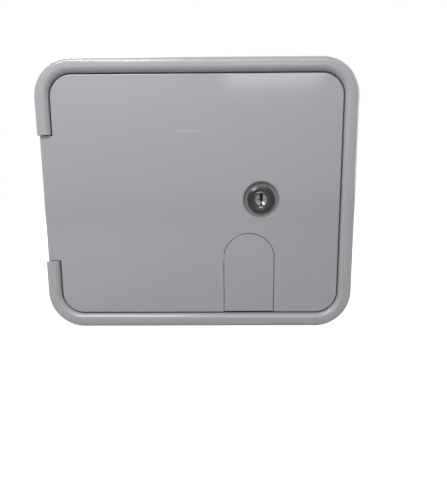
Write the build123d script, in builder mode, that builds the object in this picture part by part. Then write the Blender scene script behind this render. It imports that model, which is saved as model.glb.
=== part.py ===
from build123d import *
import os
from math import asin, cos, degrees, pi, radians, sin, sqrt

# Power cord hatch for the side wall of a caravan: a moulded frame with a recessed, locking door,
# and a small arched flap in the door that lets the cord out while the door is shut.
# Millimetres, +Z up. The front faces -Y and the wall's outer face is the plane Y = 0.
# "Height" means the distance out from the wall, so a height h lies at Y = -h.
# The origin is the centre of the four screw holes, on the wall.

# Door
door_width = 207.0
door_height = 172.8
door_corner = 15.5
door_skin = 3.0
door_skirt_depth = 1.5
door_skirt_wall = 1.8
door_skirt_inset = 0.5
door_edge_chamfer = 0.7
door_gap = 1.0
door_sink = 2.5
rib_wall = 1.6
rib_depth = 2.5
rib_columns = (-66.0, -33.0, 0.0, 72.0)
rib_rows = (52.0, 20.0, -21.0)

# Frame
rim_width = 10.0
rim_outer_round = 3.0
rim_roll_width = 3.9
rim_roll_fall = 3.0
frame_wall = 2.5
rim_outer_flats = 3
rim_roll_flats = 3
ledge_width = 14.5
ledge_thickness = 2.5
collar_depth = 25.0
collar_corner = 8.0
screw_radius = 2.25
screw_head_radius = 4.0
screw_wall_gap = 0.9

# Door gasket
gasket_width = 5.0
gasket_height = 2.2
gasket_clearance = 0.3
gasket_edge_gap = 0.5

# Hinge
tab_height = 90.6
tab_centre_z = -0.7
tab_end_gap = 0.5
tab_setback = 0.6
tab_floor = 2.0
tab_floor_gap = 0.5
hinge_pin_radius = 1.6
hinge_pin_length = 20.0
hinge_boss_length = 10.0
hinge_boss_bite = 0.6
knuckle_length = 14.0
knuckle_core_width = 3.4
pin_fit = 0.02
running_fit = 0.06

# Cord flap
flap_from_edge = 66.0
flap_hole_width = 38.0
flap_hole_height = 60.3
flap_arch_radius = 19.25
flap_gap = 0.45
flap_bottom_gap = 0.6
flap_edge_chamfer = 0.5
flap_pivot_depth = 3.8
flap_pin_radius = 1.0
flap_knuckle_radius = 2.2
flap_ear_wall = 3.0
flap_ear_radius = 2.6
flap_pin_end_gap = 0.2
flap_lip_reach = 1.2
flap_lip_wall = 1.3
flap_lip_gap = 0.2
flap_side_wall = 1.6
flap_rib_gap = 0.6
flap_flange_reach = 1.2
flap_flange_wall = 1.2
flap_flange_root = 1.6
flap_flange_end_gap = 0.6
flap_flange_sides = 32

# Lock
lock_from_edge = 57.3
lock_z = -1.4
recess_gap = 2.4
recess_slope = 0.8
recess_depth = 2.5
recess_floor_wall = 3.0
recess_boss_wall = 2.0
lock_head_overhang = 0.8
lock_head_thickness = 2.4
lock_head_bevel = 0.8
lock_dish_rim = 0.9
lock_dish_depth = 0.7
lock_barrel_radius = 9.5
lock_barrel_length = 16.0
lock_flat_depth = 1.5
lock_hole_gap = 0.12
lock_barrel_wall = 3.7
plug_face_drop = 0.15
plug_rim_width = 1.4
plug_cone_depth = 0.9
keyway_width = 2.6
keyway_end_land = 1.2
keyway_floor_wall = 1.0
ward_depth = 0.7
ward_height = 1.2
lower_ward_end_gap = 1.7
upper_ward_end_gap = 2.5
lock_nut_wall = 2.5
lock_nut_thickness = 4.0
lock_nut_chamfer = 0.8
lock_washer_wall = 2.8
lock_washer_thickness = 0.8
lock_washer_split = 1.2
end_play = 0.05

# Wafers and their springs
wafer_count = 5
wafer_pitch = 2.2
wafer_first_depth = 3.2
wafer_thickness = 0.9
wafer_side_land = 2.5
wafer_end_gap = 0.06
wafer_end_sides = 16
wafer_slot_gap = 0.05
wafer_window_width = 3.0
wafer_window_land = 3.0
wafer_code_step = 0.3
wafer_ear_reach = 1.2
wafer_ear_height = 1.0
wafer_ear_top = 2.2
spring_wire_radius = 0.12
spring_radius = 0.5
spring_turns = 2
spring_sides = 6
spring_length = 3.6
spring_pocket_gap = 0.1

# Cam and what holds it
stop_washer_thickness = 1.0
stop_washer_overlap = 1.2
stop_ear_width = 5.0
stop_ear_gap = 0.1
stop_lug_gap = 0.4
stop_lug_inset = 0.6
stop_lug_height = 0.8
stop_margin = 1.0
cam_turn = 90.0
drive_shoulder = 2.0
drive_gap = 0.05
cam_reach = 42.0
cam_root_overlap = 1.0
cam_tip_radius = 5.0
cam_thickness = 2.0
cam_screw_radius = 2.0
cam_screw_depth = 6.0
cam_screw_head_radius = 4.2
cam_screw_head_height = 2.4
cam_screw_slot_width = 1.1
cam_screw_slot_depth = 1.2
cam_washer_radius = 5.6
cam_washer_thickness = 0.9
cam_washer_split = 0.8
strike_overlap = 8.0
strike_height = 22.0
strike_wall = 3.0
strike_clearance = 0.3
strike_ramp = 2.0
strike_edge_search = 0.01

# Heights above the wall, and places that follow from the sizes
door_back = ledge_thickness + gasket_height + gasket_clearance
skin_back = door_back + door_skirt_depth
door_face = skin_back + door_skin
rim_height = door_face + door_sink
rim_roll_radius = (rim_roll_width**2 + rim_roll_fall**2) / (2 * rim_roll_fall)
rim_roll_angle = degrees(asin(rim_roll_width / rim_roll_radius))
opening_width = door_width + 2 * door_gap
opening_height = door_height + 2 * door_gap
opening_corner = door_corner + door_gap
outer_width = opening_width + 2 * rim_width
collar_width = opening_width - 2 * ledge_width
collar_height = opening_height - 2 * ledge_width
screw_inset = opening_corner - screw_head_radius - screw_wall_gap
screw_x = opening_width / 2 - opening_corner + screw_inset * sqrt(0.5)
screw_z = opening_height / 2 - opening_corner + screw_inset * sqrt(0.5)
barrel_radius = (door_face - tab_floor - tab_floor_gap) / 2
hinge_x = -(outer_width / 2 - tab_setback - barrel_radius)
hinge_height = door_face - barrel_radius
tab_low = tab_centre_z - tab_height / 2
tab_high = tab_centre_z + tab_height / 2
lock_x = door_width / 2 - lock_from_edge
lock_head_radius = lock_barrel_radius + lock_head_overhang
lock_dish_radius = lock_head_radius - lock_head_bevel - lock_dish_rim
lock_flat = lock_barrel_radius - lock_flat_depth
plug_radius = lock_barrel_radius - lock_barrel_wall
plug_cone_radius = plug_radius - plug_rim_width
keyway_height = 2 * (plug_radius - keyway_end_land)
lower_ward_z = (keyway_height - ward_height) / 2 - lower_ward_end_gap
upper_ward_z = (keyway_height - ward_height) / 2 - upper_ward_end_gap
wafer_width = 2 * (plug_radius - wafer_side_land)
wafer_window_height = 2 * (plug_radius - wafer_window_land)
drive_square = 2 * (plug_radius - drive_shoulder)
stop_washer_radius = plug_radius + stop_washer_overlap
stop_lug_inner = stop_washer_radius + stop_lug_gap
stop_lug_outer = lock_barrel_radius - stop_lug_inset
stop_ear_reach = stop_lug_outer - stop_ear_gap
cam_root_radius = stop_washer_radius + cam_root_overlap
lock_nut_width = 2 * (lock_barrel_radius + lock_nut_wall)
lock_washer_radius = lock_barrel_radius + lock_washer_wall
recess_floor_radius = lock_head_radius + recess_gap
recess_radius = recess_floor_radius + recess_slope
recess_floor = door_face - recess_depth
recess_back = recess_floor - recess_floor_wall
barrel_back = recess_floor - lock_barrel_length
stop_front = barrel_back - end_play
stop_back = stop_front - stop_washer_thickness
cam_back = stop_back - cam_thickness
cam_washer_back = cam_back - cam_washer_thickness
lock_face = recess_floor + lock_head_thickness
dish_floor = lock_face - lock_dish_depth
plug_face = dish_floor - plug_face_drop
strike_back = stop_back + strike_clearance
strike_inner_x = lock_x + cam_reach - strike_overlap
flap_x = door_width / 2 - flap_from_edge
arch_centre_z = -door_height / 2 + flap_hole_height - flap_arch_radius
flap_pivot_height = door_face - flap_pivot_depth
seal_width = collar_width + 2 * gasket_edge_gap + gasket_width
seal_height = collar_height + 2 * gasket_edge_gap + gasket_width
seal_corner = collar_corner + gasket_edge_gap + gasket_width / 2


def at_height(height):
    """The plane at this height above the wall, looking out: X to the right, Z up."""
    return Plane.XZ.offset(height)


def lock_turning_plane():
    """The plane through the lock's axis for its round pieces: x is the radius, y the height."""
    return Plane(origin=(lock_x, 0, lock_z), x_dir=(1, 0, 0), z_dir=(0, 0, -1))


def facets(centre, radius, start_angle, end_angle, count):
    """Corners of a rounded profile drawn as a few flats."""
    corners = []
    for step in range(count + 1):
        angle = radians(start_angle + (end_angle - start_angle) * step / count)
        corners.append((centre[0] + radius * cos(angle), centre[1] + radius * sin(angle)))
    return corners


lock_axis = Axis((lock_x, 0, lock_z), (0, -1, 0))
os.makedirs("parts", exist_ok=True)

# Frame: one moulding, with a hollow bead round the opening, a ledge for the gasket and the screws,
# and a collar that goes through the wall
with BuildPart() as frame:
    with BuildLine(Plane.XZ) as half_opening:
        FilletPolyline(
            (0, opening_height / 2),
            (opening_width / 2, opening_height / 2),
            (opening_width / 2, -opening_height / 2),
            (0, -opening_height / 2),
            radius=opening_corner,
        )
    bead_plane = Plane(origin=(0, 0, opening_height / 2), x_dir=(0, 0, 1), z_dir=(1, 0, 0))
    with BuildSketch(bead_plane) as bead_section:
        outer_round = facets(
            (rim_width - rim_outer_round, rim_height - rim_outer_round),
            rim_outer_round,
            0,
            90,
            rim_outer_flats,
        )
        roll = facets(
            (rim_roll_width, rim_height - rim_roll_radius),
            rim_roll_radius,
            90,
            90 + rim_roll_angle,
            rim_roll_flats,
        )
        with BuildLine():
            Polyline(
                (0, 0),
                (frame_wall, 0),
                (frame_wall, rim_height - frame_wall),
                (rim_width - frame_wall, rim_height - frame_wall),
                (rim_width - frame_wall, 0),
                (rim_width, 0),
                *outer_round,
                *roll,
                close=True,
            )
        make_face()
    sweep(path=half_opening.wire())
    mirror(about=Plane.YZ)

    with BuildSketch(at_height(0)) as ledge:
        RectangleRounded(
            opening_width + frame_wall,
            opening_height + frame_wall,
            opening_corner + frame_wall / 2,
        )
        RectangleRounded(collar_width, collar_height, collar_corner, mode=Mode.SUBTRACT)
    extrude(amount=ledge_thickness)

    with BuildSketch(at_height(0)) as collar:
        RectangleRounded(
            collar_width + 2 * frame_wall,
            collar_height + 2 * frame_wall,
            collar_corner + frame_wall,
        )
        RectangleRounded(collar_width, collar_height, collar_corner, mode=Mode.SUBTRACT)
    extrude(amount=-collar_depth)

    # Solid bosses in the bead's ends, which hold the hinge pins
    boss_z = tab_height / 2 + tab_end_gap + hinge_boss_length / 2
    bead_x = -(opening_width + rim_width) / 2
    with BuildSketch(at_height(0)) as bosses:
        with Locations((bead_x, tab_centre_z + boss_z), (bead_x, tab_centre_z - boss_z)):
            Rectangle(rim_width - 2 * (frame_wall - hinge_boss_bite), hinge_boss_length)
    extrude(amount=rim_height - frame_wall + hinge_boss_bite)

    # The bead stops at the hinge tab, where only a floor is left
    with BuildSketch(at_height(0)) as tab_room:
        with Locations((bead_x - door_gap / 2, tab_centre_z)):
            Rectangle(rim_width + door_gap, tab_height + 2 * tab_end_gap)
    extrude(amount=rim_height + door_gap, mode=Mode.SUBTRACT)
    with BuildSketch(at_height(0)) as tab_floor_sketch:
        with Locations((bead_x, tab_centre_z)):
            Rectangle(rim_width, tab_height + 2 * tab_end_gap)
    extrude(amount=tab_floor)
    with BuildSketch(Plane.XY.offset(tab_low - tab_end_gap - hinge_boss_length)) as pin_holes:
        with Locations((hinge_x, -hinge_height)):
            Circle(hinge_pin_radius + pin_fit)
    extrude(amount=tab_height + 2 * tab_end_gap + 2 * hinge_boss_length, mode=Mode.SUBTRACT)

    # Strike that the lock's cam turns behind, carried by the collar on two cheeks
    strike_depth = collar_width / 2 - strike_inner_x
    strike_middle_x = (collar_width / 2 + strike_inner_x + frame_wall / 2) / 2
    with BuildSketch(at_height(strike_back)) as strike:
        with Locations((strike_middle_x, lock_z)):
            Rectangle(strike_depth + frame_wall / 2, strike_height)
    extrude(amount=strike_wall)
    cheek_z = strike_height / 2 - frame_wall / 2
    with BuildSketch(at_height(strike_back)) as cheeks:
        with Locations((strike_middle_x, lock_z + cheek_z), (strike_middle_x, lock_z - cheek_z)):
            Rectangle(strike_depth + frame_wall / 2, frame_wall)
    extrude(amount=-strike_back)
    ramp_edges = (
        frame.edges()
        .filter_by(Axis.X)
        .filter_by_position(
            Axis.Y,
            -strike_back - strike_edge_search,
            -strike_back + strike_edge_search,
        )
        .filter_by_position(
            Axis.Z,
            lock_z + strike_height / 2 - strike_edge_search,
            lock_z + strike_height / 2 + strike_edge_search,
        )
    )
    chamfer(ramp_edges, length=strike_ramp)

    # Countersunk screw holes in the ledge's corners
    with Locations(at_height(ledge_thickness)):
        with GridLocations(2 * screw_x, 2 * screw_z, 2, 2):
            CounterSinkHole(screw_radius, screw_head_radius)

frame.part.label = "frame"
export_step(frame.part, "parts/frame.step")

# Door gasket: a soft ring on the ledge that the door's sealing rib closes on
with BuildPart() as door_gasket:
    with BuildSketch(at_height(ledge_thickness)) as gasket_ring:
        RectangleRounded(
            seal_width + gasket_width,
            seal_height + gasket_width,
            seal_corner + gasket_width / 2,
        )
        RectangleRounded(
            seal_width - gasket_width,
            seal_height - gasket_width,
            seal_corner - gasket_width / 2,
            mode=Mode.SUBTRACT,
        )
    extrude(amount=gasket_height)

door_gasket.part.label = "door_gasket"
export_step(door_gasket.part, "parts/door_gasket.step")

# Door: one moulding, with its hinge tab and knuckle at the left, a recess for the lock,
# a hole for the cord flap and a lattice of ribs behind the skin
with BuildPart() as door:
    with BuildSketch(at_height(skin_back)) as door_outline:
        RectangleRounded(door_width, door_height, door_corner)
    extrude(amount=door_skin)
    chamfer(door.faces().sort_by(Axis.Y)[0].edges(), length=door_edge_chamfer)

    tab_width = -door_width / 2 + door_edge_chamfer + door_skirt_inset - hinge_x
    with BuildSketch(at_height(skin_back)) as hinge_tab:
        with Locations((hinge_x + tab_width / 2, tab_centre_z)):
            Rectangle(tab_width, tab_height)
    extrude(amount=door_skin)
    with BuildSketch(Plane.XY.offset(tab_low)) as knuckle:
        with Locations((hinge_x, -hinge_height)):
            Circle(barrel_radius)
    extrude(amount=tab_height)

    with BuildSketch(at_height(door_back)) as skirt:
        RectangleRounded(
            door_width - 2 * door_skirt_inset,
            door_height - 2 * door_skirt_inset,
            door_corner - door_skirt_inset,
        )
        RectangleRounded(
            door_width - 2 * (door_skirt_inset + door_skirt_wall),
            door_height - 2 * (door_skirt_inset + door_skirt_wall),
            door_corner - door_skirt_inset - door_skirt_wall,
            mode=Mode.SUBTRACT,
        )
        RectangleRounded(seal_width + rib_wall, seal_height + rib_wall, seal_corner + rib_wall / 2)
        RectangleRounded(
            seal_width - rib_wall,
            seal_height - rib_wall,
            seal_corner - rib_wall / 2,
            mode=Mode.SUBTRACT,
        )
    extrude(amount=door_skirt_depth + door_skin / 2)

    with BuildSketch(at_height(skin_back - rib_depth)) as ribs:
        for column_x in rib_columns:
            with Locations((column_x, 0)):
                Rectangle(rib_wall, collar_height - 2 * gasket_edge_gap)
        for row_z in rib_rows:
            with Locations((0, row_z)):
                Rectangle(collar_width - 2 * gasket_edge_gap, rib_wall)
    extrude(amount=rib_depth + door_skin / 2)

    # Boss behind the skin that carries the lock's recess
    with BuildSketch(lock_turning_plane()) as recess_boss:
        with BuildLine():
            Polyline(
                (0, recess_back),
                (recess_floor_radius + recess_boss_wall, recess_back),
                (recess_radius + recess_boss_wall, skin_back),
                (recess_radius + recess_boss_wall, skin_back + door_skin / 2),
                (0, skin_back + door_skin / 2),
                close=True,
            )
        make_face()
    revolve(axis=lock_axis)
    with BuildSketch(lock_turning_plane()) as recess:
        with BuildLine():
            Polyline(
                (0, recess_floor),
                (recess_floor_radius, recess_floor),
                (recess_radius, door_face),
                (recess_radius, door_face + door_skin),
                (0, door_face + door_skin),
                close=True,
            )
        make_face()
    revolve(axis=lock_axis, mode=Mode.SUBTRACT)
    with BuildSketch(at_height(recess_back)) as lock_hole:
        with Locations((lock_x, lock_z)):
            Circle(lock_barrel_radius + lock_hole_gap)
            Rectangle(
                2 * (lock_flat + lock_hole_gap),
                4 * lock_barrel_radius,
                mode=Mode.INTERSECT,
            )
    extrude(amount=recess_floor_wall, mode=Mode.SUBTRACT)

    # Hole for the cord flap, open at the door's bottom edge
    flap_bottom_z = -door_height / 2 - door_gap
    with BuildSketch(at_height(0)) as flap_hole:
        with Locations((flap_x, arch_centre_z)):
            Circle(flap_arch_radius)
        with Locations((flap_x, (arch_centre_z + flap_bottom_z) / 2)):
            Rectangle(2 * flap_arch_radius, arch_centre_z - flap_bottom_z)
        with Locations((flap_x, arch_centre_z)):
            Rectangle(flap_hole_width, 4 * flap_hole_height, mode=Mode.INTERSECT)
    extrude(amount=rim_height, mode=Mode.SUBTRACT)

    # Walls beside that hole, with lips behind the flap that it closes on
    wall_low_z = -seal_height / 2
    wall_high_z = arch_centre_z + flap_ear_radius
    lip_high_z = arch_centre_z - 2 * flap_knuckle_radius
    side_x = (flap_hole_width + flap_side_wall) / 2
    with BuildSketch(at_height(door_back)) as side_walls:
        with Locations(
            (flap_x - side_x, (wall_low_z + wall_high_z) / 2),
            (flap_x + side_x, (wall_low_z + wall_high_z) / 2),
        ):
            Rectangle(flap_side_wall, wall_high_z - wall_low_z)
    extrude(amount=door_skirt_depth + door_skin / 2)
    lip_width = flap_lip_reach + flap_side_wall
    lip_x = flap_hole_width / 2 - flap_lip_reach + lip_width / 2
    with BuildSketch(at_height(skin_back - flap_lip_gap - flap_lip_wall)) as lips:
        with Locations(
            (flap_x - lip_x, (wall_low_z + lip_high_z) / 2),
            (flap_x + lip_x, (wall_low_z + lip_high_z) / 2),
        ):
            Rectangle(lip_width, lip_high_z - wall_low_z)
    extrude(amount=flap_lip_wall)

    # Ears that hold the flap's pin
    for ear_side in (-1, 1):
        ear_start = flap_x + ear_side * flap_hole_width / 2
        with BuildSketch(Plane.YZ.offset(ear_start)) as ear:
            with Locations((-flap_pivot_height, arch_centre_z)):
                Circle(flap_ear_radius)
            with Locations((-(flap_pivot_height + skin_back) / 2 - door_skin / 4, arch_centre_z)):
                Rectangle(skin_back + door_skin / 2 - flap_pivot_height, 2 * flap_ear_radius)
        extrude(amount=ear_side * flap_ear_wall)
    with BuildSketch(Plane.YZ.offset(flap_x)) as flap_pin_hole:
        with Locations((-flap_pivot_height, arch_centre_z)):
            Circle(flap_pin_radius + pin_fit)
    extrude(amount=flap_hole_width / 2 + flap_ear_wall, both=True, mode=Mode.SUBTRACT)

    # Blind holes for the hinge pins, and a cored back between them
    pin_depth = hinge_pin_length - hinge_boss_length
    with BuildSketch(Plane.XY.offset(tab_low)) as lower_pin_hole:
        with Locations((hinge_x, -hinge_height)):
            Circle(hinge_pin_radius + running_fit)
    extrude(amount=pin_depth + tab_end_gap, mode=Mode.SUBTRACT)
    with BuildSketch(Plane.XY.offset(tab_high)) as upper_pin_hole:
        with Locations((hinge_x, -hinge_height)):
            Circle(hinge_pin_radius + running_fit)
    extrude(amount=-(pin_depth + tab_end_gap), mode=Mode.SUBTRACT)
    with BuildSketch(at_height(0)) as knuckle_core:
        with Locations((hinge_x, tab_centre_z)):
            SlotOverall(tab_height - 2 * knuckle_length, knuckle_core_width, rotation=90)
    extrude(amount=skin_back, mode=Mode.SUBTRACT)

door.part.label = "door"
export_step(door.part, "parts/door.step")

# Hinge pins: short steel pins pushed from the hollow bead through its bosses into the door's knuckle
for pin_name, pin_start in (
    ("hinge_pin_lower", tab_low - tab_end_gap - hinge_boss_length),
    ("hinge_pin_upper", tab_high + tab_end_gap + hinge_boss_length - hinge_pin_length),
):
    with BuildPart() as hinge_pin:
        with BuildSketch(Plane.XY.offset(pin_start)) as pin_section:
            with Locations((hinge_x, -hinge_height)):
                Circle(hinge_pin_radius)
        extrude(amount=hinge_pin_length)
    hinge_pin.part.label = pin_name
    export_step(hinge_pin.part, "parts/" + pin_name + ".step")

# Cord flap: the arched piece of the door that swings out at its foot, on a knuckle behind its skin
with BuildPart() as cord_flap:
    flap_low_z = -door_height / 2 + flap_bottom_gap
    with BuildSketch(at_height(skin_back)) as flap_outline:
        with Locations((flap_x, arch_centre_z)):
            Circle(flap_arch_radius - flap_gap)
        with Locations((flap_x, (arch_centre_z + flap_low_z) / 2)):
            Rectangle(2 * (flap_arch_radius - flap_gap), arch_centre_z - flap_low_z)
        with Locations((flap_x, arch_centre_z)):
            Rectangle(flap_hole_width - 2 * flap_gap, 4 * flap_hole_height, mode=Mode.INTERSECT)
    extrude(amount=door_skin - flap_edge_chamfer)
    extrude(cord_flap.faces().sort_by(Axis.Y)[0], amount=flap_edge_chamfer, taper=45)
    knuckle_width = flap_hole_width - 2 * flap_gap
    with BuildSketch(Plane.YZ.offset(flap_x)) as flap_knuckle:
        with Locations((-flap_pivot_height, arch_centre_z)):
            Circle(flap_knuckle_radius)
    extrude(amount=knuckle_width / 2, both=True)
    seal_rib_width = flap_hole_width - 2 * (flap_lip_reach + flap_rib_gap)
    with BuildSketch(at_height(door_back)) as flap_seal_rib:
        with Locations((flap_x, -seal_height / 2)):
            Rectangle(seal_rib_width, rib_wall)
        with Locations((flap_x, (arch_centre_z - seal_height / 2) / 2)):
            Rectangle(rib_wall, seal_height / 2 + arch_centre_z)
    extrude(amount=door_skirt_depth + door_skin / 2)
    # Flange behind the door's skin above the pivot, where the flap swings inwards
    flange_low_z = arch_centre_z + flap_ear_radius + flap_flange_end_gap
    flange_back = skin_back - flap_lip_gap - flap_flange_wall
    flange_inner = flap_arch_radius - flap_gap - flap_flange_root
    with BuildSketch(at_height(flange_back)) as flange:
        with Locations((flap_x, arch_centre_z)):
            RegularPolygon(flap_arch_radius + flap_flange_reach, flap_flange_sides)
            RegularPolygon(flange_inner, flap_flange_sides, mode=Mode.SUBTRACT)
        with Locations((flap_x, flange_low_z - flap_hole_height / 2)):
            Rectangle(2 * flap_hole_width, flap_hole_height, mode=Mode.SUBTRACT)
    extrude(amount=flap_flange_wall)
    with BuildSketch(at_height(flange_back)) as flange_root:
        with Locations((flap_x, arch_centre_z)):
            RegularPolygon(flap_arch_radius - flap_gap - flap_edge_chamfer, flap_flange_sides)
            RegularPolygon(flange_inner, flap_flange_sides, mode=Mode.SUBTRACT)
        with Locations((flap_x, flange_low_z - flap_hole_height / 2)):
            Rectangle(2 * flap_hole_width, flap_hole_height, mode=Mode.SUBTRACT)
    extrude(amount=flap_flange_wall + flap_lip_gap + door_skin / 2)
    with BuildSketch(Plane.YZ.offset(flap_x)) as flap_bore:
        with Locations((-flap_pivot_height, arch_centre_z)):
            Circle(flap_pin_radius + running_fit)
    extrude(amount=flap_hole_width, both=True, mode=Mode.SUBTRACT)

cord_flap.part.label = "cord_flap"
export_step(cord_flap.part, "parts/cord_flap.step")

# Flap pin: a steel rod through the door's two ears and the flap's knuckle
with BuildPart() as flap_pin:
    with BuildSketch(Plane.YZ.offset(flap_x)) as flap_pin_section:
        with Locations((-flap_pivot_height, arch_centre_z)):
            Circle(flap_pin_radius)
    extrude(amount=flap_hole_width / 2 + flap_ear_wall - flap_pin_end_gap, both=True)

flap_pin.part.label = "flap_pin"
export_step(flap_pin.part, "parts/flap_pin.step")

# Lock body: a die-cast cylinder with a dished round face, two flats and a stop lug at its rear
with BuildPart() as lock_body:
    with BuildSketch(lock_turning_plane()) as lock_head:
        with BuildLine():
            Polyline(
                (plug_radius + running_fit, recess_floor),
                (lock_head_radius, recess_floor),
                (lock_head_radius, lock_face - lock_head_bevel),
                (lock_head_radius - lock_head_bevel, lock_face),
                (lock_dish_radius, lock_face),
                (plug_radius + running_fit, dish_floor),
                close=True,
            )
        make_face()
    revolve(axis=lock_axis)
    with BuildSketch(at_height(barrel_back)) as lock_barrel:
        with Locations((lock_x, lock_z)):
            Circle(lock_barrel_radius)
            Rectangle(2 * lock_flat, 4 * lock_barrel_radius, mode=Mode.INTERSECT)
            Circle(plug_radius + running_fit, mode=Mode.SUBTRACT)
    extrude(amount=lock_barrel_length)

    # The lug leaves a sector free in which the stop washer's ear turns with the cam
    ear_half_angle = degrees(asin(stop_ear_width / 2 / stop_lug_inner)) + stop_margin
    free_from = -90.0 - cam_turn - ear_half_angle
    free_to = -90.0 + ear_half_angle
    sector_reach = 2 * lock_barrel_radius
    with BuildSketch(at_height(barrel_back - stop_lug_height)) as stop_lug:
        with Locations((lock_x, lock_z)):
            Circle(stop_lug_outer)
            Rectangle(2 * lock_flat, 4 * lock_barrel_radius, mode=Mode.INTERSECT)
            Circle(stop_lug_inner, mode=Mode.SUBTRACT)
            sector_corners = [(0, 0)]
            for share in (0, 1 / 3, 2 / 3, 1):
                turned = radians(free_from + share * (free_to - free_from))
                sector_corners.append((sector_reach * cos(turned), sector_reach * sin(turned)))
            Polygon(*sector_corners, align=None, mode=Mode.SUBTRACT)
    extrude(amount=stop_lug_height)

lock_body.part.label = "lock_body"
export_step(lock_body.part, "parts/lock_body.step")

# Lock plug: the turning core, with its keyway, slots for the wafers, a square end and a screw bore
wafer_heights = [plug_face - wafer_first_depth - wafer_pitch * number for number in range(wafer_count)]
ear_outer_x = wafer_width / 2 + wafer_ear_reach
spring_x = wafer_width / 2 + wafer_ear_reach / 2
spring_low_z = wafer_ear_top - wafer_ear_height - spring_length
pocket_thickness = 2 * (spring_radius + spring_wire_radius + spring_pocket_gap)
pocket_outer_x = ear_outer_x + spring_pocket_gap
with BuildPart() as lock_plug:
    with BuildSketch(lock_turning_plane()) as plug_section:
        with BuildLine():
            Polyline(
                (0, barrel_back),
                (plug_radius, barrel_back),
                (plug_radius, plug_face),
                (plug_cone_radius, plug_face),
                (0, plug_face - plug_cone_depth),
                close=True,
            )
        make_face()
    revolve(axis=lock_axis)
    drive_back = cam_back + end_play
    with BuildSketch(at_height(drive_back)) as drive:
        with Locations((lock_x, lock_z)):
            Rectangle(drive_square, drive_square)
            Circle(plug_radius, mode=Mode.INTERSECT)
    extrude(amount=barrel_back - drive_back)
    keyway_back = drive_back + cam_screw_depth + keyway_floor_wall
    with BuildSketch(at_height(keyway_back)) as keyway:
        with Locations((lock_x, lock_z)):
            Rectangle(keyway_width, keyway_height)
        with Locations((lock_x + keyway_width / 2, lock_z - lower_ward_z)):
            Rectangle(2 * ward_depth, ward_height, mode=Mode.SUBTRACT)
        with Locations((lock_x - keyway_width / 2, lock_z + upper_ward_z)):
            Rectangle(2 * ward_depth, ward_height, mode=Mode.SUBTRACT)
    extrude(amount=plug_face - keyway_back, mode=Mode.SUBTRACT)
    for wafer_height_place in wafer_heights:
        slot_thickness = wafer_thickness + 2 * wafer_slot_gap
        with BuildSketch(at_height(wafer_height_place - slot_thickness / 2)) as wafer_slot:
            with Locations((lock_x, lock_z)):
                Rectangle(wafer_width + 2 * wafer_slot_gap, 4 * plug_radius)
        extrude(amount=slot_thickness, mode=Mode.SUBTRACT)
        pocket_width = pocket_outer_x - wafer_width / 2 + wafer_slot_gap
        pocket_height = wafer_ear_top + wafer_code_step - spring_low_z
        pocket_x = lock_x - pocket_outer_x + pocket_width / 2
        pocket_z = lock_z + spring_low_z + pocket_height / 2
        with BuildSketch(at_height(wafer_height_place - pocket_thickness / 2)) as spring_pocket:
            with Locations((pocket_x, pocket_z)):
                Rectangle(pocket_width, pocket_height)
        extrude(amount=pocket_thickness, mode=Mode.SUBTRACT)
    with BuildSketch(at_height(drive_back)) as screw_bore:
        with Locations((lock_x, lock_z)):
            Circle(cam_screw_radius + pin_fit)
    extrude(amount=cam_screw_depth, mode=Mode.SUBTRACT)

lock_plug.part.label = "lock_plug"
export_step(lock_plug.part, "parts/lock_plug.step")

# Wafers: stamped brass plates, each with its key window at another height, on a coil spring of its own
for number, wafer_height_place in enumerate(wafer_heights):
    window_shift = ((number * 2) % wafer_count - (wafer_count - 1) / 2) * wafer_code_step
    with BuildPart() as wafer:
        with BuildSketch(at_height(wafer_height_place - wafer_thickness / 2)) as wafer_outline:
            with Locations((lock_x, lock_z)):
                RegularPolygon(plug_radius - wafer_end_gap, wafer_end_sides)
                Rectangle(wafer_width, 2 * plug_radius, mode=Mode.INTERSECT)
            with Locations((lock_x - ear_outer_x / 2, lock_z + wafer_ear_top - wafer_ear_height / 2)):
                Rectangle(ear_outer_x, wafer_ear_height)
            with Locations((lock_x, lock_z + window_shift)):
                Rectangle(wafer_window_width, wafer_window_height, mode=Mode.SUBTRACT)
        extrude(amount=wafer_thickness)
    wafer_name = "lock_wafer_" + str(number + 1)
    wafer.part.label = wafer_name
    export_step(wafer.part, "parts/" + wafer_name + ".step")

    coil_height = spring_length - 2 * spring_wire_radius - 2 * spring_pocket_gap
    coil_low_z = lock_z + spring_low_z + spring_wire_radius + spring_pocket_gap
    with BuildPart() as wafer_spring:
        coil_points = []
        for step in range(spring_turns * spring_sides + 1):
            turned = 2 * pi * step / spring_sides
            coil_points.append(
                (
                    lock_x - spring_x + spring_radius * cos(turned),
                    -wafer_height_place + spring_radius * sin(turned),
                    coil_low_z + coil_height * step / (spring_turns * spring_sides),
                )
            )
        with BuildLine() as coil:
            Polyline(*coil_points)
        with BuildSketch(Plane(origin=coil.line @ 0, z_dir=coil.line % 0)) as wire:
            Rectangle(2 * spring_wire_radius, 2 * spring_wire_radius)
        sweep(path=coil.line, transition=Transition.RIGHT)
    spring_name = "wafer_spring_" + str(number + 1)
    wafer_spring.part.label = spring_name
    export_step(wafer_spring.part, "parts/" + spring_name + ".step")

# Lock washer: a split spring steel ring between the door and the nut
with BuildPart() as lock_washer:
    with BuildSketch(at_height(recess_back - lock_washer_thickness)) as washer_ring:
        with Locations((lock_x, lock_z)):
            Circle(lock_washer_radius)
            Circle(lock_barrel_radius + lock_hole_gap, mode=Mode.SUBTRACT)
        with Locations((lock_x, lock_z + lock_washer_radius / 2)):
            Rectangle(lock_washer_split, lock_washer_radius, mode=Mode.SUBTRACT)
    extrude(amount=lock_washer_thickness)

lock_washer.part.label = "lock_washer"
export_step(lock_washer.part, "parts/lock_washer.step")

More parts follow.
